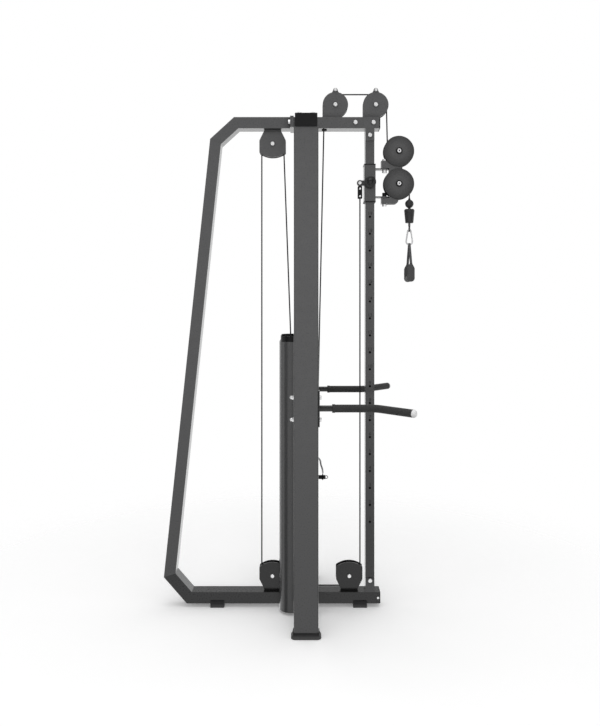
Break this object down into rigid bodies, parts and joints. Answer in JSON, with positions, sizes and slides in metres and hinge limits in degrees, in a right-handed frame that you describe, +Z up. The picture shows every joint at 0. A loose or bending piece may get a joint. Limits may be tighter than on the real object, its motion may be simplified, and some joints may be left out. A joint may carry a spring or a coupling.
{
  "type": "cable crossover machine",
  "caption": "Free-standing adjustable cable machine: weight stack, pulleys, sliding swivel carriage, strap handle and two side handles.",
  "frame": {"origin": "middle of the footprint, on the floor", "axes": "+Z up; +X to the user, who stands in front of the upright; +Y to the user's right"},
  "size_m": [1.1204, 0.919, 2.316],
  "materials": {
    "powder_coat": "satin",
    "black_plastic": "matte",
    "rubber": "matte",
    "zinc_steel": "satin",
    "chrome": "polished",
    "cable_jacket": "gloss",
    "nylon": "satin",
    "cast_weight": "matte",
    "grip_foam": "matte",
    "white_plastic": "satin",
    "webbing": "woven"
  },
  "bodies": {
    "frame": {"lower_frame": "powder_coat", "rear_mast": "powder_coat", "upper_frame": "powder_coat", "front_beam": "powder_coat", "tube_end_plugs": "black_plastic", "rubber_feet": "rubber", "left_post": "powder_coat", "right_post": "powder_coat", "top_crossbeam": "powder_coat", "base_rails": "powder_coat", "front_upright": "powder_coat", "upright_sockets": "powder_coat", "pulley_brackets": "powder_coat", "pulley_axles": "zinc_steel", "cable_grommets": "black_plastic", "frame_bolts": "zinc_steel", "guide_rods": "chrome", "stack_bumpers": "rubber", "weight_plates": "cast_weight", "stack_shroud": "powder_coat", "shroud_trim": "black_plastic", "side_handles": "powder_coat", "handle_grips": "grip_foam", "handle_plugs": "white_plastic", "cable_top_run": "cable_jacket", "cable_rear_run": "cable_jacket", "cable_upright_span": "cable_jacket", "cable_stack_front_span": "cable_jacket", "cable_stack_rear_span": "cable_jacket", "cable_lug_span": "cable_jacket"},
    "carriage": {"carriage_sleeve": "powder_coat", "carriage_bushings": "black_plastic", "cable_link": "black_plastic", "carriage_bolts": "zinc_steel"},
    "pop_pin": {"pop_pin": "black_plastic"},
    "swivel": {"swivel_bracket": "powder_coat", "swivel_covers": "black_plastic", "swivel_axles": "zinc_steel", "cable_swivel_wrap": "cable_jacket", "cable_handle_drop": "cable_jacket"},
    "stack": {"stack_head": "cast_weight", "stack_axle": "zinc_steel", "cable_stack_wrap": "cable_jacket", "pin_lanyard": "cable_jacket"},
    "selector": {"selector_pin": "black_plastic"},
    "pull_end": {"cable_stop": "black_plastic"},
    "eye": {"swivel_eye": "zinc_steel"},
    "hook": {"carabiner": "zinc_steel"},
    "gate": {"carabiner_gate": "zinc_steel"},
    "strap": {"strap": "webbing"},
    "grip": {"handle_grip": "grip_foam"},
    "top_inner_pulley": {"top_inner_pulley": "nylon"},
    "top_front_pulley": {"top_front_pulley": "nylon"},
    "rear_top_pulley": {"rear_top_pulley": "nylon"},
    "rear_bottom_pulley": {"rear_bottom_pulley": "nylon"},
    "front_bottom_pulley": {"front_bottom_pulley": "nylon"},
    "stack_pulley": {"stack_pulley": "nylon"},
    "swivel_upper_pulley": {"swivel_upper_pulley": "nylon"},
    "swivel_lower_pulley": {"swivel_lower_pulley": "nylon"}
  },
  "joints": [
    {"name": "carriage_slide", "type": "slide", "parent": "frame", "child": "carriage", "axis": [0, 0, -1], "range_m": [0, 1.4345], "deforming": ["cable_upright_span", "cable_lug_span"]},
    {"name": "pop_pin_press", "type": "slide", "parent": "carriage", "child": "pop_pin", "axis": [0, 1, 0], "range_m": [0, 0.01]},
    {"name": "swivel_turn", "type": "hinge", "parent": "carriage", "child": "swivel", "pos_m": [0.42485, 0, 1.99], "axis": [0, 0, 1], "range_deg": [-80, 80]},
    {"name": "stack_lift", "type": "slide", "parent": "frame", "child": "stack", "axis": [0, 0, -1], "range_m": [-0.7, 0], "deforming": ["cable_stack_front_span", "cable_stack_rear_span"]},
    {"name": "selector_slide", "type": "slide", "parent": "stack", "child": "selector", "axis": [1, 0, 0], "range_m": [0, 0.08]},
    {"name": "handle_pull", "type": "slide", "parent": "swivel", "child": "pull_end", "axis": [0, 0, 1], "range_m": [-1.4, 0], "deforming": ["cable_handle_drop"]},
    {"name": "eye_turn", "type": "hinge", "parent": "pull_end", "child": "eye", "pos_m": [0.53685, 0, 1.686], "axis": [0, 0, 1], "continuous": true},
    {"name": "hook_swing", "type": "hinge", "parent": "eye", "child": "hook", "pos_m": [0.53685, 0, 1.6755], "axis": [0, 1, 0], "range_deg": [-60, 35]},
    {"name": "gate_swing", "type": "hinge", "parent": "hook", "child": "gate", "pos_m": [0.54945, 0, 1.64005], "axis": [0, 1, 0], "range_deg": [-18, 0], "stiffness_Nm_per_rad": 0.02},
    {"name": "strap_swing", "type": "hinge", "parent": "hook", "child": "strap", "pos_m": [0.53685, 0, 1.616], "axis": [1, 0, 0], "range_deg": [-40, 40]},
    {"name": "grip_turn", "type": "hinge", "parent": "strap", "child": "grip", "pos_m": [0.53685, 0, 1.464], "axis": [0, 1, 0], "continuous": true},
    {"name": "top_inner_pulley_spin", "type": "hinge", "parent": "frame", "child": "top_inner_pulley", "pos_m": [0.20385, 0, 2.241], "axis": [0, 1, 0], "continuous": true},
    {"name": "top_front_pulley_spin", "type": "hinge", "parent": "frame", "child": "top_front_pulley", "pos_m": [0.38485, 0, 2.241], "axis": [0, 1, 0], "continuous": true},
    {"name": "swivel_upper_pulley_spin", "type": "hinge", "parent": "swivel", "child": "swivel_upper_pulley", "pos_m": [0.48785, 0, 2.033], "axis": [0, 1, 0], "continuous": true},
    {"name": "swivel_lower_pulley_spin", "type": "hinge", "parent": "swivel", "child": "swivel_lower_pulley", "pos_m": [0.48785, 0, 1.887], "axis": [0, 1, 0], "continuous": true},
    {"name": "stack_pulley_spin", "type": "hinge", "parent": "stack", "child": "stack_pulley", "pos_m": [0.07185, 0, 0.69], "axis": [0, 1, 0], "continuous": true},
    {"name": "rear_top_pulley_spin", "type": "hinge", "parent": "frame", "child": "rear_top_pulley", "pos_m": [-0.07715, 0, 2.066], "axis": [0, 1, 0], "continuous": true},
    {"name": "rear_bottom_pulley_spin", "type": "hinge", "parent": "frame", "child": "rear_bottom_pulley", "pos_m": [-0.07715, 0, 0.134], "axis": [0, 1, 0], "continuous": true},
    {"name": "front_bottom_pulley_spin", "type": "hinge", "parent": "frame", "child": "front_bottom_pulley", "pos_m": [0.26585, 0, 0.134], "axis": [0, 1, 0], "continuous": true}
  ],
  "couplings": [
    {"joint": "handle_pull", "follows": "stack_lift", "ratio": 2},
    {"joint": "top_inner_pulley_spin", "follows": "stack_lift", "rad_per_m": -40.816},
    {"joint": "top_front_pulley_spin", "follows": "stack_lift", "rad_per_m": -40.816},
    {"joint": "swivel_upper_pulley_spin", "follows": "stack_lift", "rad_per_m": 40.816},
    {"joint": "swivel_lower_pulley_spin", "follows": "stack_lift", "rad_per_m": -40.816},
    {"joint": "stack_pulley_spin", "follows": "stack_lift", "rad_per_m": 20.408},
    {"joint": "rear_top_pulley_spin", "follows": "carriage_slide", "rad_per_m": 20.408},
    {"joint": "rear_bottom_pulley_spin", "follows": "carriage_slide", "rad_per_m": 20.408},
    {"joint": "front_bottom_pulley_spin", "follows": "carriage_slide", "rad_per_m": 20.408}
  ]
}
